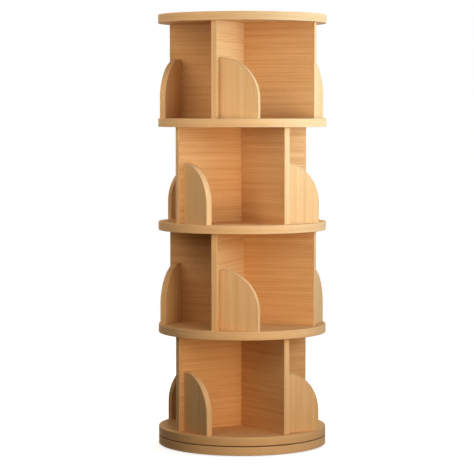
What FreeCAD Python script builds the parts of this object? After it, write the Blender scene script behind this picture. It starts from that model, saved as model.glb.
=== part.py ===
import FreeCAD, Part
import math
import os

from FreeCAD import Vector

# A round revolving bookcase: four tiers of crossed dividers between round shelves, which turn together
# on a ball-bearing turntable let into a fixed round base.
# Millimetres, +Z up. The origin is on the floor, on the axis that the shelves turn about.
# Tiers are numbered from the top down. The dividers of odd tiers run along X and Y, and those of even
# tiers are turned by the stagger, so that every screw through a shelf stays in reach of a driver.

# Round boards
disc_diameter = 500.0
disc_thickness = 25.0
base_thickness = 25.0
turn_gap = 3.0
foot_thickness = 3.0

# Tiers
tier_clear_height = 281.0
stagger_angle = 55.0

# Dividers and book guards
board_thickness = 18.0
divider_setback = 20.0
guard_setback = 18.0
guard_rim_margin = 2.0
guard_straight_edge = 56.5

# Edge bands on the rims, the divider ends and the guards' curved edges
band_thickness = 2.0
band_edge_radius = 1.5

# Feet
foot_count = 6
foot_radius = 20.0
foot_chamfer = 0.5
foot_rim_setback = 45.0

# Furniture screws, driven through a shelf into the edge of a divider or a guard
screw_head_radius = 5.0
screw_head_height = 3.0
screw_shank_radius = 3.5
screw_thread_radius = 2.5
screw_point_length = 4.0
screw_bite = 25.0
screw_socket_width = 4.0
screw_socket_depth = 2.5
inner_screw_radius = 70.0
screw_end_setback = 40.0
screw_cap_overlap = 1.5
screw_cap_thickness = 0.6

# Wooden dowels
dowel_radius = 4.0
dowel_length = 30.0
dowel_chamfer = 0.8
dowel_depth_in_disc = 12.0
dowel_depth_in_face = 10.0
cross_dowel_count = 3
cross_dowel_length = 50.0
guard_dowel_height = 40.0
guard_dowel_spacing = 90.0

# Cam fittings that hold the top board
cam_radius = 7.5
cam_beyond_centre = 3.5
cam_setback = 24.0
cam_slot_width = 1.6
cam_slot_depth = 1.5
cam_bolt_head_radius = 3.2
cam_bolt_head_length = 4.0
cam_bolt_neck_radius = 2.2
cam_bolt_shank_radius = 3.4
cam_bolt_thread_radius = 2.9
cam_bolt_depth_in_disc = 11.0
cam_cap_overlap = 1.2
cam_cap_thickness = 1.0
cap_edge_chamfer = 0.3

# Ball-bearing turntable
ball_count = 36
ball_radius = 2.5
ball_circle_radius = 140.0
ball_bite = 0.8
ring_lip = 1.25
ring_offset = 1.0
ring_rim_width = 6.0
ring_flange_width = 22.0
ring_flange_thickness = 3.0
ring_pocket_room = 3.0
cage_web = 0.75
cage_side_room = 0.6
ring_screw_head_radius = 3.8
ring_screw_head_height = 2.2
ring_screw_shank_radius = 2.0
ring_screw_thread_radius = 1.7
ring_screw_point_length = 3.0
ring_screw_bite = 10.0
ring_screw_recess_width = 1.0
ring_screw_recess_depth = 1.2
lower_ring_screw_count = 8
upper_ring_screw_count = 4
access_hole_radius = 8.0

# Clearances
fit_clearance = 0.1
hole_end_room = 1.0
ball_clearance = 0.25
cage_pocket_clearance = 0.5
cam_bolt_play = 0.4

# Names of the tiers and of the four arms of a tier's cross, with each arm's turn from the front
top_tier = 1
bottom_tier = 4
tiers = range(top_tier, bottom_tier + 1)
arms = {"front": 0.0, "right": 90.0, "rear": 180.0, "left": 270.0}
long_divider_arms = ("right", "left")

# Levels, from the floor up
base_low = foot_thickness
base_high = base_low + base_thickness
bottom_shelf_low = base_high + turn_gap
storey_height = tier_clear_height + disc_thickness

# Boards
rim_radius = disc_diameter / 2
core_radius = rim_radius - band_thickness
half_board = board_thickness / 2
divider_reach = rim_radius - divider_setback
divider_core_reach = divider_reach - band_thickness
band_corner = min(band_edge_radius, 0.8 * band_thickness)

# Guards: the far corner of each one stays just inside the rim
guard_outer_face = divider_reach - guard_setback
guard_centre = guard_outer_face - half_board
guard_corner_radius = rim_radius - guard_rim_margin
guard_width = math.sqrt(guard_corner_radius**2 - guard_outer_face**2) - half_board
guard_core_width = guard_width - band_thickness

# Stations along each arm
outer_screw_radius = divider_reach - screw_end_setback
screw_stations = (inner_screw_radius, outer_screw_radius)
dowel_station = sum(screw_stations) / len(screw_stations)

# Turntable
race_radius = ball_radius + ball_clearance
ring_height = 2 * (race_radius + ring_lip)
bearing_height = ring_height + ring_offset
ring_pocket_floor = bottom_shelf_low - bearing_height
ball_level = ring_pocket_floor + bearing_height / 2
half_race_gap = ball_radius - ball_bite
lower_race_face = ball_circle_radius - half_race_gap
upper_race_face = ball_circle_radius + half_race_gap
lower_flange_outer = lower_race_face - ring_rim_width
lower_flange_inner = lower_flange_outer - ring_flange_width
upper_flange_inner = upper_race_face + ring_rim_width
upper_flange_outer = upper_flange_inner + ring_flange_width
lower_screw_circle = (lower_flange_inner + lower_flange_outer) / 2
upper_screw_circle = (upper_flange_inner + upper_flange_outer) / 2

origin = Vector(0, 0, 0)
axis_x = Vector(1, 0, 0)
axis_y = Vector(0, 1, 0)
axis_z = Vector(0, 0, 1)


def tier_turn(tier):
    """How far a tier's cross is turned about Z, in degrees."""
    return stagger_angle if tier % 2 == 0 else 0.0


def tier_floor(tier):
    """The level of the shelf top that a tier stands on."""
    return bottom_shelf_low + disc_thickness + (bottom_tier - tier) * storey_height


# Shapes from simple outlines


def moved(shape, x=0.0, y=0.0, z=0.0):
    copy = shape.copy()
    copy.translate(Vector(x, y, z))
    return copy


def turned(shape, degrees, axis=axis_z):
    copy = shape.copy()
    copy.rotate(origin, axis, degrees)
    return copy


def to_arm(shape, tier, angle):
    """A shape drawn for a front arm that stands at level 0, set on one arm of a tier."""
    return moved(turned(shape, angle + tier_turn(tier)), z=tier_floor(tier))


def around(shape, count, start=0.0):
    """Copies of a shape, evenly spaced about Z."""
    return [turned(shape, start + index * 360.0 / count) for index in range(count)]


def revolved(profile):
    """A solid turned about Z from (radius, level) corners."""
    corners = [Vector(radius, 0, level) for radius, level in profile]
    face = Part.Face(Part.makePolygon(corners + corners[:1]))
    return face.revolve(origin, axis_z, 360)


def ring(inner_radius, outer_radius, low, high):
    corners = [(inner_radius, low), (outer_radius, low), (outer_radius, high), (inner_radius, high)]
    return revolved(corners)


def carved(shape, cutters):
    """A solid less the cutters that reach it."""
    reaching = [cutter for cutter in cutters if cutter.BoundBox.intersect(shape.BoundBox)]
    (solid,) = shape.cut(reaching).Solids
    return solid


def band_section(width):
    """An edge band's section: its thickness runs along +X, its width along Y, its outer corners are round."""
    half = width / 2
    bevel = band_corner * (1 - math.sqrt(0.5))
    outer = band_thickness
    lower_arc = Part.Arc(
        Vector(outer - band_corner, -half, 0),
        Vector(outer - bevel, -half + bevel, 0),
        Vector(outer, -half + band_corner, 0),
    )
    upper_arc = Part.Arc(
        Vector(outer, half - band_corner, 0),
        Vector(outer - bevel, half - bevel, 0),
        Vector(outer - band_corner, half, 0),
    )
    edges = [
        Part.LineSegment(Vector(0, -half, 0), lower_arc.StartPoint),
        lower_arc,
        Part.LineSegment(lower_arc.EndPoint, upper_arc.StartPoint),
        upper_arc,
        Part.LineSegment(upper_arc.EndPoint, Vector(0, half, 0)),
        Part.LineSegment(Vector(0, half, 0), Vector(0, -half, 0)),
    ]
    return Part.Face(Part.Wire([edge.toShape() for edge in edges]))


# Fasteners, each drawn upright at the origin


def countersunk(head_radius, head_height, shank_radius, shank_length, thread_radius, bite, point, grow=0.0):
    """A screw with its head's flat at level 0 and its point up."""
    length = shank_length + bite
    profile = [
        (0, 0),
        (head_radius + grow, 0),
        (shank_radius + grow, head_height),
        (shank_radius + grow, shank_length),
        (thread_radius + grow, shank_length),
        (thread_radius + grow, length - point),
        (0, length + grow),
    ]
    return revolved(profile)


def furniture_screw(grow=0.0):
    """The screw whose smooth shank fills a shelf's thickness."""
    return countersunk(
        screw_head_radius,
        screw_head_height,
        screw_shank_radius,
        disc_thickness,
        screw_thread_radius,
        screw_bite,
        screw_point_length,
        grow,
    )


def furniture_screw_with_socket():
    corner = screw_socket_width / math.sqrt(3)
    corners = [turned(Part.Vertex(corner, 0, 0), 60.0 * index).Point for index in range(6)]
    hexagon = Part.Face(Part.makePolygon(corners + corners[:1]))
    return carved(furniture_screw(), [hexagon.extrude(axis_z * screw_socket_depth)])


def ring_screw(grow=0.0):
    return countersunk(
        ring_screw_head_radius,
        ring_screw_head_height,
        ring_screw_shank_radius,
        ring_flange_thickness,
        ring_screw_thread_radius,
        ring_screw_bite,
        ring_screw_point_length,
        grow,
    )


def ring_screw_with_recess():
    reach = ring_screw_shank_radius
    width = ring_screw_recess_width
    blade = Part.makeBox(2 * reach, width, ring_screw_recess_depth, Vector(-reach, -width / 2, 0))
    return carved(ring_screw(), [blade, turned(blade, 90)])


def dowel(length):
    """A round pin with chamfered ends, centred on the origin."""
    half = length / 2
    profile = [
        (0, -half),
        (dowel_radius - dowel_chamfer, -half),
        (dowel_radius, -half + dowel_chamfer),
        (dowel_radius, half - dowel_chamfer),
        (dowel_radius - dowel_chamfer, half),
        (0, half),
    ]
    return revolved(profile)


def dowel_hole(length):
    half = length / 2 + hole_end_room
    return Part.makeCylinder(dowel_radius + fit_clearance, 2 * half, Vector(0, 0, -half))


def cap(radius, thickness):
    """A thin cover with an eased upper edge, standing on level 0."""
    profile = [
        (0, 0),
        (radius, 0),
        (radius, thickness - cap_edge_chamfer),
        (radius - cap_edge_chamfer, thickness),
        (0, thickness),
    ]
    return revolved(profile)


def cam_bolt(grow=0.0):
    """A bolt that is screwed up into the top board at level 0, with its head in the cam below."""
    head_low = -cam_setback - cam_bolt_head_length / 2 - grow
    head_high = -cam_setback + cam_bolt_head_length / 2 + grow
    cam_top = -cam_setback + cam_radius
    profile = [
        (0, head_low),
        (cam_bolt_head_radius + grow, head_low),
        (cam_bolt_head_radius + grow, head_high),
        (cam_bolt_neck_radius + grow, head_high),
        (cam_bolt_neck_radius + grow, cam_top - grow),
        (cam_bolt_shank_radius + grow, cam_top - grow),
        (cam_bolt_shank_radius + grow, 0),
        (cam_bolt_thread_radius + grow, 0),
        (cam_bolt_thread_radius + grow, cam_bolt_depth_in_disc + grow),
        (0, cam_bolt_depth_in_disc + grow),
    ]
    return revolved(profile)


def cam_cylinder(side, grow=0.0):
    """The cam's round body, let into one face of a divider whose mid-plane is X = 0."""
    length = half_board + cam_beyond_centre + grow
    start = Vector(side * half_board, 0, -cam_setback)
    return Part.makeCylinder(cam_radius + grow, length, start, axis_x * -side)


def cam_nut(side):
    """A cam with a hollow for the bolt's head and a slot for the driver in its face."""
    low_x = min(side * half_board, side * (half_board - cam_slot_depth))
    corner = Vector(low_x, -cam_slot_width / 2, -cam_setback - cam_radius / 2)
    slot = Part.makeBox(cam_slot_depth, cam_slot_width, cam_radius, corner)
    hollow = cam_bolt(cam_bolt_play)
    return carved(cam_cylinder(side, -fit_clearance), [hollow, slot])


# Boards


def rim_band(low, thickness):
    section = turned(band_section(thickness), 90, axis_x)
    return moved(section, core_radius, 0, low + thickness / 2).revolve(origin, axis_z, 360)


def round_board(low, thickness, cutters):
    return carved(Part.makeCylinder(core_radius, thickness, Vector(0, 0, low)), cutters)


def long_divider():
    corner = Vector(-divider_core_reach, -half_board, 0)
    return Part.makeBox(2 * divider_core_reach, board_thickness, tier_clear_height, corner)


def short_divider():
    corner = Vector(-half_board, -divider_core_reach, 0)
    return Part.makeBox(board_thickness, divider_core_reach - half_board, tier_clear_height, corner)


def divider_end_band():
    section = moved(turned(band_section(board_thickness), -90), y=-divider_core_reach)
    return section.extrude(axis_z * tier_clear_height)


def guard():
    """A book guard that stands beside the front arm: straight below, a quarter circle above."""
    outer = half_board + guard_core_width
    foot_inner = Vector(half_board, 0, 0)
    foot_outer = Vector(outer, 0, 0)
    spring = Vector(outer, 0, guard_straight_edge)
    crown = Vector(half_board, 0, guard_straight_edge + guard_core_width)
    diagonal = guard_core_width * math.sqrt(0.5)
    shoulder = Vector(half_board + diagonal, 0, guard_straight_edge + diagonal)
    edges = [
        Part.LineSegment(foot_inner, foot_outer),
        Part.LineSegment(foot_outer, spring),
        Part.Arc(spring, shoulder, crown),
        Part.LineSegment(crown, foot_inner),
    ]
    face = Part.Face(Part.Wire([edge.toShape() for edge in edges]))
    return moved(face, y=-guard_outer_face).extrude(axis_y * board_thickness)


def guard_band():
    """The band along a guard's straight edge and round its quarter circle."""
    section = moved(band_section(board_thickness), half_board + guard_core_width, -guard_centre)
    straight = section.extrude(axis_z * guard_straight_edge)
    bend_centre = Vector(half_board, 0, guard_straight_edge)
    bend = moved(section, z=guard_straight_edge).revolve(bend_centre, -axis_y, 90)
    (solid,) = straight.fuse(bend).removeSplitter().Solids
    return solid


# Joinery: every fastener is set with the hole that it needs, so boards and fasteners always line up

nodes = {}
holes = {tier: [] for tier in tiers}


def add(node, shape):
    nodes.setdefault(node, []).append(shape)


def fasten(node, tier, angle, fastener, hole):
    add(node, to_arm(fastener, tier, angle))
    holes[tier].append(to_arm(hole, tier, angle))


def place_divider_screws(tier, angle):
    """Screws that rise through the shelf below a divider, and drop through the shelf above it."""
    for station in screw_stations:
        below = {"y": -station, "z": -disc_thickness}
        rising = moved(furniture_screw_with_socket(), **below)
        fasten("rising_divider_screws", tier, angle, rising, moved(furniture_screw(fit_clearance), **below))
        if tier == top_tier:
            continue
        above = {"y": -station, "z": tier_clear_height + disc_thickness}
        dropping = moved(turned(furniture_screw_with_socket(), 180, axis_x), **above)
        dropping_hole = moved(turned(furniture_screw(fit_clearance), 180, axis_x), **above)
        fasten("dropping_divider_screws", tier, angle, dropping, dropping_hole)
        cover = cap(screw_head_radius + screw_cap_overlap, screw_cap_thickness)
        add("screw_caps", to_arm(moved(cover, **above), tier, angle))


def place_divider_dowels(tier, angle):
    """One dowel in the lower edge and one in the upper edge of each arm."""
    reach_into_divider = dowel_length / 2 - dowel_depth_in_disc
    for level in (reach_into_divider, tier_clear_height - reach_into_divider):
        pin = moved(dowel(dowel_length), y=-dowel_station, z=level)
        pin_hole = moved(dowel_hole(dowel_length), y=-dowel_station, z=level)
        fasten("divider_dowels", tier, angle, pin, pin_hole)


def place_cross_dowels(tier):
    """Dowels that pass through the long divider into both short ones."""
    pin = turned(dowel(cross_dowel_length), 90, axis_x)
    pin_hole = turned(dowel_hole(cross_dowel_length), 90, axis_x)
    spacing = tier_clear_height / (cross_dowel_count + 1)
    for index in range(cross_dowel_count):
        level = (index + 1) * spacing
        fasten("cross_dowels", tier, 0.0, moved(pin, z=level), moved(pin_hole, z=level))


def place_guard_fasteners(tier, angle):
    """Two dowels from a guard's inner edge into its divider, and a screw up through the shelf."""
    pin = turned(dowel(dowel_length), 90, axis_y)
    pin_hole = turned(dowel_hole(dowel_length), 90, axis_y)
    pin_centre = half_board - dowel_depth_in_face + dowel_length / 2
    for level in (guard_dowel_height, guard_dowel_height + guard_dowel_spacing):
        seat = {"x": pin_centre, "y": -guard_centre, "z": level}
        fasten("guard_dowels", tier, angle, moved(pin, **seat), moved(pin_hole, **seat))
    below = {"x": half_board + guard_width / 2, "y": -guard_centre, "z": -disc_thickness}
    screw = moved(furniture_screw_with_socket(), **below)
    fasten("guard_screws", tier, angle, screw, moved(furniture_screw(fit_clearance), **below))


def place_cam_fitting(tier, arm, angle):
    """A cam in the divider and a bolt in the top board. The long divider has its cams in one face."""
    side = 1 if arm == "right" else -1
    seat = {"y": -outer_screw_radius, "z": tier_clear_height}
    fasten("cam_bolts", tier, angle, moved(cam_bolt(), **seat), moved(cam_bolt(fit_clearance), **seat))
    nut_hole = moved(cam_cylinder(side, fit_clearance), **seat)
    fasten("cam_nuts", tier, angle, moved(cam_nut(side), **seat), nut_hole)
    cover = turned(cap(cam_radius + cam_cap_overlap, cam_cap_thickness), 90 * side, axis_y)
    cover_on_cam = moved(cover, x=side * half_board, z=-cam_setback)
    add("cam_caps", to_arm(moved(cover_on_cam, **seat), tier, angle))


for tier in tiers:
    place_cross_dowels(tier)
    for arm, angle in arms.items():
        place_divider_screws(tier, angle)
        place_divider_dowels(tier, angle)
        place_guard_fasteners(tier, angle)
        if tier == top_tier:
            place_cam_fitting(tier, arm, angle)

# Dividers, guards and their bands

for tier in tiers:
    board = to_arm(long_divider(), tier, 0.0)
    add(f"tier_{tier}_long_divider", carved(board, holes[tier]))
    for arm, angle in arms.items():
        if arm not in long_divider_arms:
            board = to_arm(short_divider(), tier, angle)
            add(f"tier_{tier}_{arm}_divider", carved(board, holes[tier]))
        add(f"tier_{tier}_{arm}_guard", carved(to_arm(guard(), tier, angle), holes[tier]))
        add("divider_edge_bands", to_arm(divider_end_band(), tier, angle))
        add("guard_edge_bands", to_arm(guard_band(), tier, angle))

# Round boards of the carousel

upper_screw_start = tier_turn(bottom_tier) + 180.0 / upper_ring_screw_count
upper_screw_seat = {"y": -upper_screw_circle, "z": bottom_shelf_low - ring_flange_thickness}
upper_screw_holes = around(
    moved(ring_screw(fit_clearance), **upper_screw_seat), upper_ring_screw_count, upper_screw_start
)

for tier in (0, *tiers):
    low = tier_floor(tier) - disc_thickness
    cutters = holes.get(tier, []) + holes.get(tier + 1, [])
    name = f"shelf_{tier}"
    if tier < top_tier:
        name = "top_board"
    if tier == bottom_tier:
        name = "bottom_shelf"
        cutters = cutters + upper_screw_holes
    add(name, round_board(low, disc_thickness, cutters))
    add(f"{name}_edge_band", rim_band(low, disc_thickness))

# Turntable

ball_groove = Part.makeTorus(ball_circle_radius, race_radius, Vector(0, 0, ball_level))
ball = Part.makeSphere(ball_radius, Vector(0, -ball_circle_radius, ball_level))

lower_screw_seat = {"y": -lower_screw_circle, "z": ring_pocket_floor + ring_flange_thickness}
lower_screw_hole = moved(turned(ring_screw(fit_clearance), 180, axis_x), **lower_screw_seat)
lower_screw_holes = around(lower_screw_hole, lower_ring_screw_count)
lower_screw = moved(turned(ring_screw_with_recess(), 180, axis_x), **lower_screw_seat)
upper_screw = moved(ring_screw_with_recess(), **upper_screw_seat)


def lower_ring():
    """The ring on the base: a flange with a rim that carries the balls on its outer side."""
    flange_top = ring_pocket_floor + ring_flange_thickness
    rim_top = ring_pocket_floor + ring_height
    profile = [
        (lower_flange_inner, ring_pocket_floor),
        (lower_race_face, ring_pocket_floor),
        (lower_race_face, rim_top),
        (lower_flange_outer, rim_top),
        (lower_flange_outer, flange_top),
        (lower_flange_inner, flange_top),
    ]
    return carved(revolved(profile), [ball_groove] + lower_screw_holes)


def upper_ring():
    """The ring under the bottom shelf, whose rim carries the balls on its inner side."""
    flange_low = bottom_shelf_low - ring_flange_thickness
    rim_low = bottom_shelf_low - ring_height
    profile = [
        (upper_race_face, rim_low),
        (upper_flange_inner, rim_low),
        (upper_flange_inner, flange_low),
        (upper_flange_outer, flange_low),
        (upper_flange_outer, bottom_shelf_low),
        (upper_race_face, bottom_shelf_low),
    ]
    return carved(revolved(profile), [ball_groove] + upper_screw_holes)


def ball_cage():
    """A hoop between the two rims, drilled with a loose round pocket for each ball."""
    half_width = half_race_gap - cage_side_room
    pocket_radius = ball_radius + cage_pocket_clearance
    half_height = pocket_radius + cage_web
    inner_face = ball_circle_radius - half_width
    outer_face = ball_circle_radius + half_width
    hoop = ring(inner_face, outer_face, ball_level - half_height, ball_level + half_height)
    drill_start = Vector(0, -lower_race_face, ball_level)
    pocket = Part.makeCylinder(pocket_radius, 2 * half_race_gap, drill_start, -axis_y)
    return carved(hoop, around(pocket, ball_count))


add("turntable_lower_ring", lower_ring())
add("turntable_upper_ring", upper_ring())
add("turntable_ball_cage", ball_cage())
for shape in around(ball, ball_count):
    add("turntable_balls", shape)
for shape in around(lower_screw, lower_ring_screw_count):
    add("turntable_lower_screws", shape)
for shape in around(upper_screw, upper_ring_screw_count, upper_screw_start):
    add("turntable_upper_screws", shape)

# Base and feet


def base_board():
    """The fixed board, with a pocket for the turntable and a hole to drive the upper ring's screws."""
    pocket = ring(
        lower_flange_inner - ring_pocket_room,
        upper_flange_outer + ring_pocket_room,
        ring_pocket_floor,
        base_high,
    )
    shaft = Part.makeCylinder(access_hole_radius, base_thickness, Vector(0, -upper_screw_circle, base_low))
    access_hole = turned(shaft, upper_screw_start)
    return round_board(base_low, base_thickness, [pocket, access_hole] + lower_screw_holes)


def foot_pad():
    profile = [
        (0, 0),
        (foot_radius - foot_chamfer, 0),
        (foot_radius, foot_chamfer),
        (foot_radius, foot_thickness),
        (0, foot_thickness),
    ]
    return moved(revolved(profile), y=foot_rim_setback - rim_radius)


add("base_board", base_board())
add("base_board_edge_band", rim_band(base_low, base_thickness))
for shape in around(foot_pad(), foot_count):
    add("foot_pads", shape)

os.makedirs("parts", exist_ok=True)
for node, shapes in nodes.items():
    shape = shapes[0] if len(shapes) == 1 else Part.makeCompound(shapes)
    shape.exportStep(f"parts/{node}.step")
    print(f"{node}: {len(shapes)} solid(s), {shape.Volume / 1000:.1f} cm3")
print(f"{len(nodes)} nodes, height {tier_floor(0):.1f} mm, guard {guard_width:.1f} mm wide")
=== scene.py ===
import math
import random

import bpy
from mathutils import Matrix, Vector


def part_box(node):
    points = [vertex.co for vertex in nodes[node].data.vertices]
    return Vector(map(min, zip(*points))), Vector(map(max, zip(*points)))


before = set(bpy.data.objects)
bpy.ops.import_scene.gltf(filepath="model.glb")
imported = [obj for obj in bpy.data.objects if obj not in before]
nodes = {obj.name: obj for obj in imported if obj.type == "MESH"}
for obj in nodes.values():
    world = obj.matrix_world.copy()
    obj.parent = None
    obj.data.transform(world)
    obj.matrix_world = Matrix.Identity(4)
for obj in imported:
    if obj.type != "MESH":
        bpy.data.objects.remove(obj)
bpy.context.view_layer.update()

# A round revolving bookcase in a pale wood-grain finish, dressed and lit on a white floor.
# Metres, +Z up. The origin is on the floor, on the axis that the shelves turn about.


def size_of(name):
    low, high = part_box(name)
    return high - low


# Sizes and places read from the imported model
round_boards = ("base_board", "bottom_shelf", "shelf_3", "shelf_2", "shelf_1", "top_board")
tier_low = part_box("tier_4_long_divider")[0].z
storey_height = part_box("tier_3_long_divider")[0].z - tier_low
divider_middle = size_of("tier_4_long_divider").z / 2
divider_reach = -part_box("tier_1_front_divider")[0].y
board_thickness = size_of("tier_1_long_divider").y
half_board = board_thickness / 2
board_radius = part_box("top_board")[1].x
rim_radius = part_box("top_board_edge_band")[1].x
guard_reach = -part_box("tier_1_front_guard")[0].y - half_board
guard_width = size_of("tier_1_front_guard").x
guard_straight_edge = size_of("tier_1_front_guard").z - guard_width

# Turn of the crosses of the even tiers against the odd ones
stagger_angle = math.radians(55.0)
quarter_turn = math.pi / 2
full_turn = 2.0 * math.pi

# Camera
view_azimuth = math.radians(20.62)
camera_distance = 5.8956
camera_height = 0.9984
camera_pitch = math.radians(86.325)
camera_yaw = view_azimuth + math.radians(0.1507)
camera_lens = 150.09
sensor_width = 36.0
to_camera = Vector((math.sin(view_azimuth), -math.cos(view_azimuth), 0.0))
to_right = Vector((math.cos(view_azimuth), math.sin(view_azimuth), 0.0))
up = Vector((0.0, 0.0, 1.0))

# Wood colours, from the palest streak to the darkest
board_pale = (0.840, 0.549, 0.263)
board_deep = (0.562, 0.278, 0.087)
guard_pale = (0.813, 0.585, 0.315)
guard_deep = (0.627, 0.365, 0.137)
band_pale = (0.824, 0.582, 0.311)
band_deep = (0.610, 0.360, 0.147)
dowel_pale = (0.82, 0.62, 0.380)
dowel_deep = (0.66, 0.44, 0.230)
# Pale edge wear, which also paints a highlight along the bands' arrises
edge_wear_and_highlight_colour = (0.93, 0.73, 0.46)
# Dark glue line at joints, which also paints shade where one part meets another
glue_line_and_shade = (0.24, 0.125, 0.045)


# Node helpers


def plug(tree, socket, value):
    """Links a socket to another one, or sets it to a value."""
    if isinstance(value, bpy.types.NodeSocket):
        tree.links.new(value, socket)
    elif socket.type == "RGBA":
        socket.default_value = (*value, 1.0)
    else:
        socket.default_value = value


def add_node(tree, kind, inputs, **settings):
    made = tree.nodes.new("ShaderNode" + kind)
    for name, value in settings.items():
        setattr(made, name, value)
    for key, value in inputs.items():
        plug(tree, made.inputs[key], value)
    return made


def calc(tree, operation, *values, clamp=False):
    inputs = dict(enumerate(values))
    return add_node(tree, "Math", inputs, operation=operation, use_clamp=clamp).outputs["Value"]


def total(tree, *values):
    result = values[0]
    for value in values[1:]:
        result = calc(tree, "ADD", result, value)
    return result


def weighted(tree, value, weight):
    return calc(tree, "MULTIPLY", value, weight)


def less(tree, value, amount):
    return calc(tree, "SUBTRACT", value, amount)


def between(tree, value, low, high):
    """A smooth step from 0 at low to 1 at high."""
    inputs = {"Value": value, "From Min": low, "From Max": high}
    return add_node(tree, "MapRange", inputs, interpolation_type="SMOOTHSTEP").outputs["Result"]


def spread(tree, factor, limits):
    """Turns a factor from 0 to 1 into a value between two limits."""
    low, high = limits
    inputs = {"Value": factor, "To Min": low, "To Max": high}
    return add_node(tree, "MapRange", inputs).outputs["Result"]


def mixed(tree, factor, first, second):
    """A mix of two colours, whose sockets share their names with others and so go by number."""
    mixer = add_node(tree, "Mix", {0: factor, 6: first, 7: second}, data_type="RGBA")
    return mixer.outputs[2]


def bump(tree, height, strength, depth):
    inputs = {"Strength": strength, "Distance": depth, "Height": height}
    return add_node(tree, "Bump", inputs).outputs["Normal"]


def vector_of(tree, x, y, z):
    return add_node(tree, "CombineXYZ", {"X": x, "Y": y, "Z": z}).outputs["Vector"]


def parts_of(tree, vector):
    split = add_node(tree, "SeparateXYZ", {"Vector": vector}).outputs
    return split["X"], split["Y"], split["Z"]


def length_of(tree, x, y):
    return calc(tree, "SQRT", total(tree, weighted(tree, x, x), weighted(tree, y, y)))


def angle_from_front(tree, x, y):
    """The angle about the axis, counted from the front towards +X."""
    return calc(tree, "ARCTAN2", x, weighted(tree, y, -1.0))


# How many finer octaves a noise has
no_detail = 0.0
soft_detail = 2.0
fine_detail = 3.0
speckle_detail = 4.0


def noise(tree, place, seed, scales, detail=soft_detail):
    """Soft noise from -1 to 1. The scales are its cycles per metre along each axis."""
    stretch = {0: place, 1: scales}
    stretched = add_node(tree, "VectorMath", stretch, operation="MULTIPLY").outputs["Vector"]
    inputs = {"Vector": stretched, "W": seed, "Scale": 1.0, "Detail": detail}
    field = add_node(tree, "TexNoise", inputs, noise_dimensions="4D")
    return calc(tree, "MULTIPLY_ADD", field.outputs["Fac"], 2.0, -1.0)


def object_place(tree):
    return add_node(tree, "TexCoord", {}).outputs["Object"]


def new_group(name, inputs, outputs):
    tree = bpy.data.node_groups.new(name, "ShaderNodeTree")
    for direction, sockets in (("INPUT", inputs), ("OUTPUT", outputs)):
        for socket, kind in sockets.items():
            tree.interface.new_socket(socket, in_out=direction, socket_type="NodeSocket" + kind)
    given = tree.nodes.new("NodeGroupInput").outputs
    result = tree.nodes.new("NodeGroupOutput").inputs
    return tree, given, result


def use_group(tree, group, inputs):
    holder = tree.nodes.new("ShaderNodeGroup")
    holder.node_tree = group
    for key, value in inputs.items():
        plug(tree, holder.inputs[key], value)
    return holder.outputs


def new_material(name):
    """A material, its node tree and its surface shader's inputs."""
    material = bpy.data.materials.new(name)
    material.use_nodes = True
    tree = material.node_tree
    return material, tree, tree.nodes["Principled BSDF"].inputs


# Wood figure: cycles per metre along the grain, across it and into the board, and each layer's share

line_spacing = 0.0075
line_drift = 3.2
line_sharpness = 1.5
drift_scale = (1.6, 9.0, 9.0)
cloud_scale = (1.1, 5.0, 5.0)
streak_scale = (1.6, 95.0, 95.0)
fibre_scale = (15.0, 820.0, 820.0)
fleck_scale = (190.0, 1500.0, 1500.0)
fleck_start = 0.34
fleck_full = 0.62
middle_tone = 0.5
cloud_weight = 0.30
streak_weight = 0.50
fibre_weight = 0.30
line_weight = 0.17
fleck_weight = 0.50
fibre_relief = 0.5
wood_roughness = 0.50
roughness_spread = 0.10
wood_specular = 0.025
grain_bump_depth = 0.00025
grain_bump_strength = 0.18


def growth_lines(tree, place, seed):
    """Dark lines of the yearly growth, from 0 to 1, which drift across the board."""
    _, across, _ = parts_of(tree, place)
    drift = weighted(tree, noise(tree, place, seed, drift_scale), line_drift)
    age = total(tree, calc(tree, "DIVIDE", across, line_spacing), drift)
    wave = calc(tree, "SINE", weighted(tree, age, full_turn))
    return calc(tree, "POWER", calc(tree, "MAXIMUM", wave, 0.0), line_sharpness)


def make_wood_group():
    """Wood's colour, roughness and relief. Its vector goes along the grain, across it and inwards."""
    inputs = {"Vector": "Vector", "Seed": "Float", "Figure": "Float", "Pale": "Color", "Deep": "Color"}
    outputs = {"Color": "Color", "Roughness": "Float", "Normal": "Vector"}
    tree, given, result = new_group("wood", inputs, outputs)
    place, seed = given["Vector"], given["Seed"]
    cloud = noise(tree, place, seed, cloud_scale)
    streak = noise(tree, place, seed, streak_scale, fine_detail)
    fibre = noise(tree, place, seed, fibre_scale, fine_detail)
    fleck = between(tree, noise(tree, place, seed, fleck_scale, no_detail), fleck_start, fleck_full)
    lines = weighted(tree, growth_lines(tree, place, seed), given["Figure"])
    figure = total(
        tree,
        weighted(tree, cloud, cloud_weight),
        weighted(tree, streak, streak_weight),
        weighted(tree, fibre, fibre_weight),
        weighted(tree, lines, -line_weight),
        weighted(tree, fleck, -fleck_weight),
    )
    tone = calc(tree, "ADD", figure, middle_tone, clamp=True)
    plug(tree, result["Color"], mixed(tree, tone, given["Deep"], given["Pale"]))
    unevenness = weighted(tree, less(tree, fibre, cloud), roughness_spread)
    plug(tree, result["Roughness"], total(tree, unevenness, wood_roughness))
    relief = less(tree, weighted(tree, fibre, fibre_relief), fleck)
    plug(tree, result["Normal"], bump(tree, relief, grain_bump_strength, grain_bump_depth))
    return tree


wood = make_wood_group()

# Place on a tier's cross

storey_seed = 7.3
arm_seed = 2.9


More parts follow.
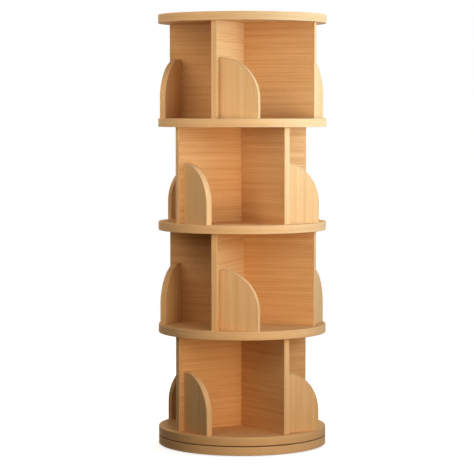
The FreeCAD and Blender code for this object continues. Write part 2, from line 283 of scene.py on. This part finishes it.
def make_tier_frame_group():
    """A point's place on its arm of a tier's cross: out along the arm, to its guarded side, and up."""
    outputs = {"Out": "Float", "Beside": "Float", "Up": "Float", "Seed": "Float"}
    tree, _, result = new_group("tier_frame", {}, outputs)
    place = object_place(tree)
    x, y, z = parts_of(tree, place)
    level = less(tree, z, tier_low)
    storey = calc(tree, "FLOOR", calc(tree, "DIVIDE", level, storey_height))
    is_straight = calc(tree, "MODULO", storey, 2.0)
    turn = weighted(tree, calc(tree, "SUBTRACT", 1.0, is_straight), stagger_angle)
    azimuth = less(tree, angle_from_front(tree, x, y), turn)
    arm = calc(tree, "ROUND", calc(tree, "DIVIDE", azimuth, quarter_turn))
    arm_angle = total(tree, turn, weighted(tree, arm, quarter_turn))
    rotation = {"Vector": place, "Angle": weighted(tree, arm_angle, -1.0)}
    aligned = add_node(tree, "VectorRotate", rotation, rotation_type="Z_AXIS").outputs["Vector"]
    beside, inward, _ = parts_of(tree, aligned)
    plug(tree, result["Out"], weighted(tree, inward, -1.0))
    plug(tree, result["Beside"], beside)
    plug(tree, result["Up"], less(tree, level, weighted(tree, storey, storey_height)))
    seed = total(tree, weighted(tree, storey, storey_seed), weighted(tree, arm, arm_seed))
    plug(tree, result["Seed"], seed)
    return tree


tier_frame = make_tier_frame_group()


def along_guard_edge(tree, local):
    """How far out a point of a guard lies, and how far along the guard's straight and round edge."""
    beside = less(tree, local["Beside"], half_board)
    above = calc(tree, "MAXIMUM", less(tree, local["Up"], guard_straight_edge), 0.0)
    bend = weighted(tree, calc(tree, "ARCTAN2", above, beside), guard_width)
    along = total(tree, calc(tree, "MINIMUM", local["Up"], guard_straight_edge), bend)
    return length_of(tree, beside, above), along


# Wooden materials: joints, dark glue lines with painted shade, worn edges with a painted highlight, how
# strongly the growth lines show, and seeds

# Glue lines at joints, darkened further as painted shade where parts meet
glue_and_shade_width = 0.0014
glue_and_shade_darkness = 0.8
# Pale worn edges on the bands, which also paint a highlight along the arrises
edge_wear_and_highlight_start = 0.72
edge_wear_and_highlight_amount = 0.15
board_figure = 1.0
guard_figure = 0.5
no_figure = 0.0
guard_seed = 31.0
dowel_seed = 4.0


def with_glue_line_and_shade(tree, colour, gap):
    """Darkens a colour close to a glued joint: a dark glue line, with painted shade where one part
    meets another. The gap is the distance from the joint.
    """
    clear = between(tree, gap, 0.0, glue_and_shade_width)
    amount = calc(tree, "MULTIPLY_ADD", clear, -glue_and_shade_darkness, glue_and_shade_darkness)
    return mixed(tree, amount, colour, glue_line_and_shade)


def with_edge_wear_and_highlight(tree, colour, offset, half_width):
    """Pales a band towards both of its edges: edge wear, with a painted highlight along the arrises.
    The offset is from the band's middle line.
    """
    share = calc(tree, "DIVIDE", calc(tree, "ABSOLUTE", offset), half_width)
    amount = weighted(tree, between(tree, share, edge_wear_and_highlight_start, 1.0), edge_wear_and_highlight_amount)
    return mixed(tree, amount, colour, edge_wear_and_highlight_colour)


def finish_wood(tree, shader, place, seed, figure, pale, deep):
    """Joins the wood figure to a surface shader, and gives its colour."""
    inputs = {"Vector": place, "Seed": seed, "Figure": figure, "Pale": pale, "Deep": deep}
    made = use_group(tree, wood, inputs)
    plug(tree, shader["Base Color"], made["Color"])
    plug(tree, shader["Roughness"], made["Roughness"])
    plug(tree, shader["Normal"], made["Normal"])
    shader["Specular IOR Level"].default_value = wood_specular
    return made["Color"]


def divider_material():
    """Grain runs level, along each arm."""
    material, tree, shader = new_material("divider_wood")
    local = use_group(tree, tier_frame, {})
    across = less(tree, local["Up"], divider_middle)
    place = vector_of(tree, local["Out"], across, local["Beside"])
    colour = finish_wood(tree, shader, place, local["Seed"], board_figure, board_pale, board_deep)
    # Dark glue line with painted shade where the end band meets the divider
    to_band = calc(tree, "SUBTRACT", divider_reach, local["Out"])
    plug(tree, shader["Base Color"], with_glue_line_and_shade(tree, colour, to_band))
    return material


def guard_material():
    """Grain stands upright."""
    material, tree, shader = new_material("guard_wood")
    local = use_group(tree, tier_frame, {})
    depth = less(tree, local["Out"], guard_reach)
    place = vector_of(tree, local["Up"], local["Beside"], depth)
    seed = total(tree, local["Seed"], guard_seed)
    colour = finish_wood(tree, shader, place, seed, guard_figure, guard_pale, guard_deep)
    out, _ = along_guard_edge(tree, local)
    # Dark glue line with painted shade along the joint with the guard's band
    colour = with_glue_line_and_shade(tree, colour, calc(tree, "SUBTRACT", guard_width, out))
    # Painted shade in the corner where the guard meets the divider's face
    colour = with_glue_line_and_shade(tree, colour, less(tree, local["Beside"], half_board))
    plug(tree, shader["Base Color"], colour)
    return material


def round_board_material(name, seed, angle):
    """Grain runs straight across the disc, at the given angle."""
    material, tree, shader = new_material(f"{name}_wood")
    low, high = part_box(name)
    to_middle = (0.0, 0.0, -(low.z + high.z) / 2)
    mapping = {"Vector": object_place(tree), "Location": to_middle, "Rotation": (0.0, 0.0, angle)}
    place = add_node(tree, "Mapping", mapping).outputs["Vector"]
    colour = finish_wood(tree, shader, place, seed, board_figure, board_pale, board_deep)
    x, y, _ = parts_of(tree, place)
    # Dark glue line with painted shade where the rim band meets the disc
    to_band = calc(tree, "SUBTRACT", board_radius, length_of(tree, x, y))
    plug(tree, shader["Base Color"], with_glue_line_and_shade(tree, colour, to_band))
    return material


def rim_material(name, seed):
    """Grain runs round the rim. The band's two ends meet at the rear."""
    material, tree, shader = new_material(f"{name}_band")
    low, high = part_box(f"{name}_edge_band")
    x, y, z = parts_of(tree, object_place(tree))
    along = weighted(tree, angle_from_front(tree, x, y), rim_radius)
    across = less(tree, z, (low.z + high.z) / 2)
    place = vector_of(tree, along, across, 0.0)
    colour = finish_wood(tree, shader, place, seed, no_figure, band_pale, band_deep)
    # Pale worn edges with a painted highlight along the rim's arrises
    plug(tree, shader["Base Color"], with_edge_wear_and_highlight(tree, colour, across, (high.z - low.z) / 2))
    return material


def divider_band_material():
    """Grain stands upright on the ends of the dividers."""
    material, tree, shader = new_material("divider_band")
    local = use_group(tree, tier_frame, {})
    place = vector_of(tree, local["Up"], local["Beside"], 0.0)
    colour = finish_wood(tree, shader, place, local["Seed"], no_figure, band_pale, band_deep)
    # Pale worn edges with a painted highlight along the end band's arrises
    plug(tree, shader["Base Color"], with_edge_wear_and_highlight(tree, colour, local["Beside"], half_board))
    return material


def guard_band_material():
    """Grain follows the band up the guard's straight edge and round its curve."""
    material, tree, shader = new_material("guard_band")
    local = use_group(tree, tier_frame, {})
    across = less(tree, local["Out"], guard_reach)
    _, along = along_guard_edge(tree, local)
    place = vector_of(tree, along, across, 0.0)
    colour = finish_wood(tree, shader, place, local["Seed"], no_figure, band_pale, band_deep)
    # Pale worn edges with a painted highlight along the guard band's arrises
    plug(tree, shader["Base Color"], with_edge_wear_and_highlight(tree, colour, across, half_board))
    return material


def dowel_material():
    material, tree, shader = new_material("dowel_wood")
    finish_wood(tree, shader, object_place(tree), dowel_seed, no_figure, dowel_pale, dowel_deep)
    return material


# Plastic, rubber and metal materials

speckle_contrast = 0.8
speckle_depth = 0.0002
ring_contrast = 0.9
ring_roughness = (0.24, 0.42)
ring_relief = 0.1
ring_depth = 0.0001
surface_seed = 0.0


def speckled(name, colours, fineness, roughness, metallic=0.0, relief=0.05, specular=0.5):
    """A surface whose colour, roughness and relief follow one fine noise."""
    material, tree, shader = new_material(name)
    scales = (fineness, fineness, fineness)
    grain = noise(tree, object_place(tree), surface_seed, scales, speckle_detail)
    factor = calc(tree, "MULTIPLY_ADD", grain, speckle_contrast, middle_tone, clamp=True)
    plug(tree, shader["Base Color"], mixed(tree, factor, *colours))
    plug(tree, shader["Roughness"], spread(tree, factor, roughness))
    plug(tree, shader["Normal"], bump(tree, grain, relief, speckle_depth))
    shader["Metallic"].default_value = metallic
    shader["Specular IOR Level"].default_value = specular
    return material


def turned_metal(name, colours, fineness):
    """Metal turned on a lathe, with fine rings about the axis."""
    material, tree, shader = new_material(name)
    x, y, z = parts_of(tree, object_place(tree))
    place = vector_of(tree, length_of(tree, x, y), z, 0.0)
    rings = noise(tree, place, surface_seed, (fineness, fineness, 1.0), fine_detail)
    factor = calc(tree, "MULTIPLY_ADD", rings, ring_contrast, middle_tone, clamp=True)
    plug(tree, shader["Base Color"], mixed(tree, factor, *colours))
    plug(tree, shader["Roughness"], spread(tree, factor, ring_roughness))
    plug(tree, shader["Normal"], bump(tree, rings, ring_relief, ring_depth))
    shader["Metallic"].default_value = 1.0
    return material


def cap_plastic():
    """Wood-coloured caps over the screws and cams."""
    colours = ((0.60, 0.37, 0.165), (0.72, 0.47, 0.225))
    return speckled("cap_plastic", colours, fineness=400.0, roughness=(0.50, 0.65), specular=0.15)


def screw_steel():
    colours = ((0.52, 0.51, 0.48), (0.68, 0.68, 0.66))
    return speckled("screw_steel", colours, fineness=900.0, roughness=(0.25, 0.45), metallic=1.0)


def cast_zinc():
    colours = ((0.46, 0.47, 0.48), (0.60, 0.61, 0.62))
    return speckled("zinc", colours, fineness=700.0, roughness=(0.40, 0.60), metallic=1.0)


def ball_steel():
    colours = ((0.55, 0.55, 0.55), (0.64, 0.64, 0.64))
    return speckled(
        "ball_steel", colours, fineness=1500.0, roughness=(0.08, 0.16), metallic=1.0, relief=0.01
    )


def cage_plastic():
    colours = ((0.70, 0.70, 0.66), (0.80, 0.80, 0.77))
    return speckled("cage_plastic", colours, fineness=500.0, roughness=(0.40, 0.55))


def foot_rubber():
    colours = ((0.030, 0.030, 0.030), (0.065, 0.065, 0.062))
    return speckled("foot_rubber", colours, fineness=1200.0, roughness=(0.70, 0.90), relief=0.3)


def turntable_aluminium():
    colours = ((0.64, 0.65, 0.66), (0.78, 0.79, 0.80))
    return turned_metal("turntable_aluminium", colours, fineness=2600.0)


# Dress every node of the model

dice_seed = 11
dice = random.Random(dice_seed)
most_seed = 50.0
most_grain_turn = 0.4


def dress(name, material):
    for holder in nodes[name].material_slots:
        holder.material = material


by_slot = {
    "divider_board": divider_material(),
    "guard_board": guard_material(),
    "dowel_wood": dowel_material(),
    "cap_plastic": cap_plastic(),
    "screw_steel": screw_steel(),
    "zinc": cast_zinc(),
    "turntable_aluminium": turntable_aluminium(),
    "ball_steel": ball_steel(),
    "cage_plastic": cage_plastic(),
    "foot_rubber": foot_rubber(),
}
for name, piece in nodes.items():
    slot_name = piece.material_slots[0].material.name
    if slot_name in by_slot:
        dress(name, by_slot[slot_name])
dress("divider_edge_bands", divider_band_material())
dress("guard_edge_bands", guard_band_material())
for name in round_boards:
    grain_seed = dice.uniform(0.0, most_seed)
    grain_turn = dice.uniform(-most_grain_turn, most_grain_turn)
    dress(name, round_board_material(name, grain_seed, grain_turn))
    dress(f"{name}_edge_band", rim_material(name, dice.uniform(0.0, most_seed)))

# Floor and background: white to the eye, while the light that the floor throws back is a darker floor's

floor_reach = 30.0
floor_corners = ((-1, -1), (1, -1), (1, 1), (-1, 1))
floor_colour = (0.62, 0.61, 0.60)
floor_bounce_colour = (0.17, 0.15, 0.13)
floor_roughness = 1.0
floor_specular = 0.0
floor_glow_near = 0.74
floor_glow_far = 1.0
glow_near_radius = 0.35
glow_far_radius = 1.30
ambient_strength = 0.04
ambient_colour = (1.0, 0.88, 0.76)
white = (1.0, 1.0, 1.0)


def seen_directly(tree):
    """1 for rays from the camera and for those that a mirror or glass passes on."""
    path = add_node(tree, "LightPath", {}).outputs
    seen = calc(tree, "MAXIMUM", path["Is Camera Ray"], path["Is Glossy Ray"])
    return calc(tree, "MAXIMUM", seen, path["Is Transmission Ray"])


def make_floor():
    mesh = bpy.data.meshes.new("floor")
    corners = [(floor_reach * x, floor_reach * y, 0.0) for x, y in floor_corners]
    mesh.from_pydata(corners, [], [(0, 1, 2, 3)])
    floor = bpy.data.objects.new("floor", mesh)
    bpy.context.scene.collection.objects.link(floor)
    material, tree, shader = new_material("floor")
    seen = seen_directly(tree)
    plug(tree, shader["Base Color"], mixed(tree, seen, floor_bounce_colour, floor_colour))
    shader["Roughness"].default_value = floor_roughness
    shader["Specular IOR Level"].default_value = floor_specular
    reach = add_node(tree, "VectorMath", {0: object_place(tree)}, operation="LENGTH").outputs["Value"]
    far = between(tree, reach, glow_near_radius, glow_far_radius)
    glow = spread(tree, far, (floor_glow_near, floor_glow_far))
    plug(tree, shader["Emission Color"], white)
    plug(tree, shader["Emission Strength"], calc(tree, "MULTIPLY", glow, seen))
    mesh.materials.append(material)


def make_world():
    world = bpy.data.worlds.new("studio")
    bpy.context.scene.world = world
    world.use_nodes = True
    tree = world.node_tree
    ambient = tuple(ambient_strength * share for share in ambient_colour)
    colour = mixed(tree, seen_directly(tree), ambient, white)
    plug(tree, tree.nodes["Background"].inputs["Color"], colour)


make_floor()
make_world()

# Studio lights: a cool key to the right, a fill to the left, two in front, two behind and one above

lamp_size = 1.1
lamp_spread = math.radians(110.0)
daylight = (0.76, 1.0, 1.28)
clear_white = (0.90, 0.95, 1.02)
plain_white = (1.0, 0.95, 0.90)
soft_white = (1.0, 0.85, 0.72)
warm_white = (1.0, 0.74, 0.51)


def area_light(name, azimuth, reach, height, aim, power, colour, shines=True):
    """A round soft light that faces the axis at the height of its aim.

    Its azimuth is counted from the camera to the right. One that doesn't shine leaves no gloss.
    """
    lamp = bpy.data.lights.new(name, "AREA")
    lamp.shape = "DISK"
    lamp.size = lamp_size
    lamp.energy = power
    lamp.color = colour
    lamp.spread = lamp_spread
    holder = bpy.data.objects.new(name, lamp)
    turn = math.radians(azimuth)
    holder.location = (to_right * math.sin(turn) + to_camera * math.cos(turn)) * reach + up * height
    holder.rotation_euler = (up * aim - holder.location).to_track_quat("-Z", "Y").to_euler()
    holder.visible_camera = False
    holder.visible_glossy = shines
    bpy.context.scene.collection.objects.link(holder)


area_light("key_light", azimuth=75.0, reach=1.1, height=1.20, aim=1.14, power=6.2, colour=daylight)
area_light("front_light", azimuth=25.0, reach=1.3, height=1.25, aim=1.08, power=2.5, colour=clear_white)
area_light("fill_light", azimuth=-45.0, reach=1.15, height=1.28, aim=1.04, power=3.1, colour=soft_white)
area_light("low_light", azimuth=25.0, reach=1.6, height=0.42, aim=0.32, power=5.9, colour=warm_white)
area_light(
    "back_light", azimuth=175.0, reach=2.2, height=1.20, aim=0.85,
    power=16.5, colour=plain_white, shines=False,
)
area_light(
    "side_light", azimuth=-140.0, reach=1.6, height=1.15, aim=0.95,
    power=3.0, colour=soft_white, shines=False,
)
area_light("top_light", azimuth=0.0, reach=0.0, height=3.00, aim=0.75, power=9.0, colour=soft_white)

# Camera at the photograph's angle


def make_camera():
    lens = bpy.data.cameras.new("camera")
    lens.lens = camera_lens
    lens.sensor_width = sensor_width
    camera = bpy.data.objects.new("camera", lens)
    camera.location = to_camera * camera_distance + up * camera_height
    camera.rotation_euler = (camera_pitch, 0.0, camera_yaw)
    bpy.context.scene.collection.objects.link(camera)
    bpy.context.scene.camera = camera


make_camera()
bpy.context.scene.view_settings.view_transform = "Standard"
